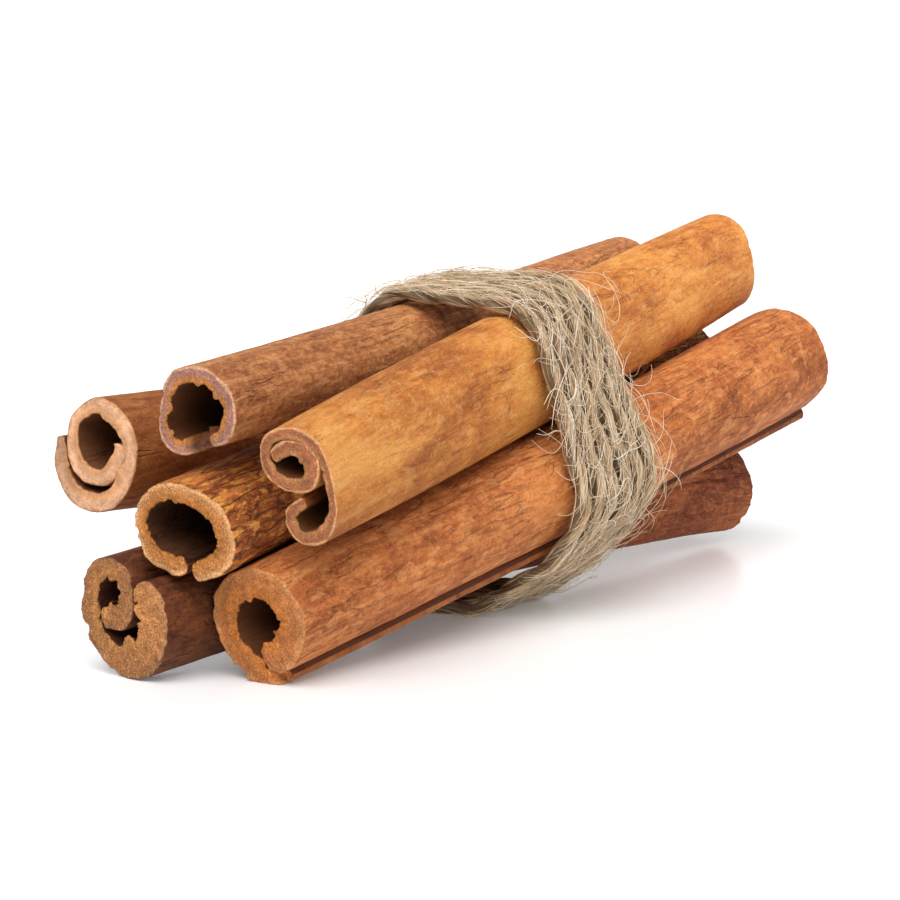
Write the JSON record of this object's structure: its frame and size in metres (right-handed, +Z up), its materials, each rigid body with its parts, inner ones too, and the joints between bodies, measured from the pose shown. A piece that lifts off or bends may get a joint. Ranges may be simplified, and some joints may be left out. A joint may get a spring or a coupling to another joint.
{
  "type": "bundle of cinnamon sticks",
  "caption": "Rolled cinnamon bark sticks lying side by side, slightly splayed, and tied round the middle with jute twine.",
  "frame": {"origin": "middle of the bundle's base, on the surface it lies on", "axes": "+X along the sticks from their open cut ends in front to their far ends, +Z up"},
  "size_m": [0.1072, 0.0408, 0.0387],
  "materials": {
    "bark_tan": "dry smooth bark with a sawn end, matt",
    "bark_brown": "dry fibrous bark with a broken end, matt",
    "bark_golden": "dry smooth scraped bark, matt with a faint sheen",
    "bark_streaked": "dry streaked bark, matt",
    "bark_dark": "dry rough bark, matt",
    "bark_red": "dry rough bark with fine lengthwise cracks, matt",
    "jute": "hairy natural jute twine"
  },
  "bodies": {
    "root": {"stick_a": "bark_tan", "stick_b": "bark_brown", "stick_c": "bark_golden", "stick_d": "bark_streaked", "stick_e": "bark_dark", "stick_f": "bark_red", "twine": "jute"}
  },
  "joints": []
}
